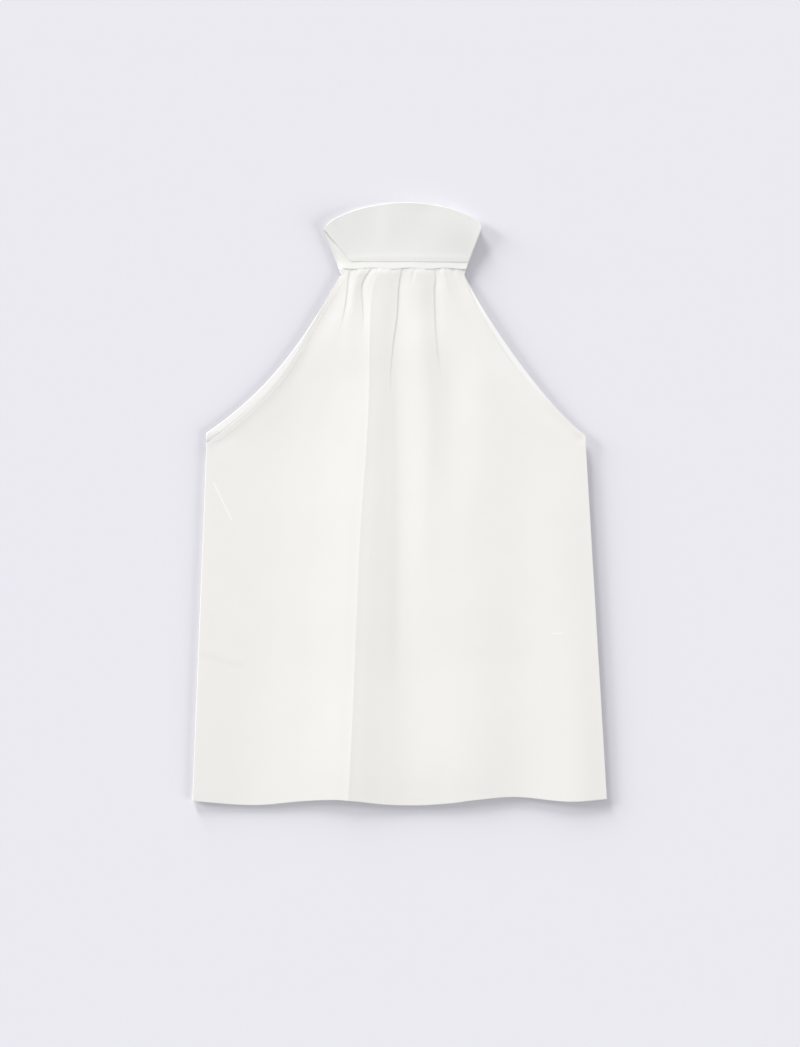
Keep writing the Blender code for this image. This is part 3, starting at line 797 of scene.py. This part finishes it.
def stitchMaterial():
    material, tree, shader, place = newMaterial("Sewing thread")
    twist = place.noise(stitches["twist"], detail=2.0)
    colour = twist.blend(stitches["deep"], stitches["light"])
    rough = twist * stitches["roughnessSway"] + stitches["roughness"]
    feed(tree, shader, {"Base Color": colour, "Roughness": rough})
    return material


def crossing(points, measure, target):
    # Along each row, the point where a rising measure passes its target
    found = []
    for line, values in zip(points, measure):
        k = max(1, int(np.argmax(values > target)))
        found.append(lerp(line[k - 1], line[k], (target - values[k - 1]) / (values[k] - values[k - 1])))
    return np.array(found)


def seam(points):   # where each stitch lies along a line, and its direction
    run = np.concatenate(([0], np.cumsum(np.linalg.norm(np.diff(points, axis=0), axis=1))))
    places = np.arange(stitches["pitch"] / 2, run[-1] - stitches["pitch"] / 2, stitches["pitch"])
    centres, ahead = (
        np.column_stack([np.interp(places + step, run, points[:, k]) for k in range(3)])
        for step in (0, stitches["length"] / 2)
    )
    return centres, ahead - centres


def stitchLines(surface, sideways, arm, grids, edges):
    upward = surface[:, :, 1] - surface[:1, :, 1]
    lines = [seam(crossing(surface.transpose(1, 0, 2), upward.T, stitches["hemLine"]))]
    rows = arm[:, 0] > stitches["openFrom"]
    rows[-outline["neckRows"] - stitches["neckSpare"]:] = False
    lines[0][0][:, 2] -= stitches["sunk"]
    for step in (1, -1):
        lines.append(seam(crossing(surface[rows, ::step], sideways[rows, ::step], stitches["armholeLine"])))
    for (points, (toEdge, slit)), step in zip(zip(grids, edges), (-1, 1)):
        rise = points[:, :, 1] - points[:1, :, 1]
        lines.append(seam(crossing(points.transpose(1, 0, 2), rise.T, stitches["hemLine"])))
        belowSeam = points[:, 0, 1] < outline["seamY"] - stitches["slitTop"]
        rows = (slit.min(axis=1) < back["noSlit"]) & belowSeam
        lines.append(seam(crossing(points[rows, ::step], slit[rows, ::step], stitches["slitLine"])))
    foot = outline["seamY"] - back["slitLength"]
    count, gap = stitches["barTack"]
    bars = np.array([(0, foot - 1 - gap * k, 0) for k in range(count)], float)
    lines.append((bars, np.tile((stitches["slitLine"], 0, 0), (count, 1))))
    return lines


def sew(lines, material):
    bm = bmesh.new()
    bmesh.ops.create_icosphere(bm, subdivisions=2, radius=1)
    ball = np.array([vert.co for vert in bm.verts])
    faces = np.array([[vert.index for vert in face.verts] for face in bm.faces])
    bm.free()
    centres, halves = (np.concatenate(parts) for parts in zip(*lines))
    along = halves / np.linalg.norm(halves, axis=1)[:, None]
    across = np.column_stack((-along[:, 1], along[:, 0], 0 * along[:, 0]))
    across /= np.linalg.norm(across, axis=1)[:, None]
    upward = np.cross(along, across)
    radius = stitches["thread"] / 2
    places = centres[:, None] + ball[None, :, :1] * halves[:, None]
    places = places + radius * (ball[None, :, 1:2] * across[:, None] + ball[None, :, 2:] * upward[:, None])
    numbers = faces[None] + (np.arange(len(centres)) * len(ball))[:, None, None]
    mesh = bpy.data.meshes.new("stitches")
    mesh.from_pydata((places.reshape(-1, 3) * mm).tolist(), [], numbers.reshape(-1, 3).tolist())
    mesh.shade_smooth()
    piece = addPiece("stitches", mesh, material)
    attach(piece, "root")
    print(f"stitches: {len(centres)} on {len(lines)} lines")


# Camera, light and floor

def makeStudio():
    scene = bpy.context.scene
    scene.view_settings.view_transform = "Standard"
    x, y = studio["lookAt"]
    lens = bpy.data.cameras.new("Camera")
    lens.sensor_width = studio["sensor"]
    lens.lens = studio["sensor"] * studio["cameraHeight"] / studio["frameHeight"]
    camera = bpy.data.objects.new("Camera", lens)
    camera.location = Vector((x, y, studio["cameraHeight"])) * mm
    scene.collection.objects.link(camera)
    scene.camera = camera
    for name, share, height, turn, softness in studio["lamps"]:
        height, turn = radians(height), radians(turn)
        towards = Vector((cos(height) * cos(turn), cos(height) * sin(turn), sin(height)))
        light = bpy.data.lights.new(name, "SUN")
        light.energy = share * pi / sin(height)
        light.angle = radians(softness)
        lamp = bpy.data.objects.new(name, light)
        lamp.rotation_euler = (-towards).to_track_quat("-Z", "Y").to_euler()
        scene.collection.objects.link(lamp)
    world = bpy.data.worlds.new("Even light")
    world.use_nodes = True
    background = world.node_tree.nodes["Background"]
    feed(world.node_tree, background, {"Strength": studio["fill"], "Color": (1, 1, 1, 1)})
    scene.world = world
    bm = bmesh.new()
    bmesh.ops.create_grid(bm, x_segments=1, y_segments=1, size=studio["floorSize"] / 2 * mm)
    mesh = bpy.data.meshes.new("floor")
    bm.to_mesh(mesh)
    bm.free()
    material, tree, shader, place = newMaterial("Pale floor")
    tint = (place.noise(2.0) * studio["cloud"]).blend(studio["floorColour"], studio["cloudColour"])
    feed(tree, shader, {"Base Color": tint, "Roughness": 0.9, "Specular IOR Level": 0.0})
    floor = addPiece("floor", mesh, material)
    floor.location = (0, 0, -studio["floorDrop"] * mm)
    print("studio: camera, light and floor")


makeStudio()
bodyCloth = crepeMaterial("Ivory crepe", crepe["bodyLight"], crepe["bodyDeep"], paintedCreases)
# the back's material is lighter than the front's, partly as painted light
backCloth = crepeMaterial("Ivory crepe, back", crepe["backPaintedLight"], crepe["backPaintedDeep"])
collarCloth = crepeMaterial("Ivory collar crepe", crepe["collarShadedLight"], crepe["collarShadedDeep"])
under, over = backPanel(backCloth), frontPanel(bodyCloth)
collarPieces(collarCloth)
sew(stitchLines(*over, *under), stitchMaterial())
shell = buttonMaterial()
for name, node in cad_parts.items():
    if name.startswith("button_loop"):
        node.data.materials.clear()
        node.data.materials.append(collarCloth)
    elif name.startswith("button"):
        node.data.materials.clear()
        node.data.materials.append(shell)
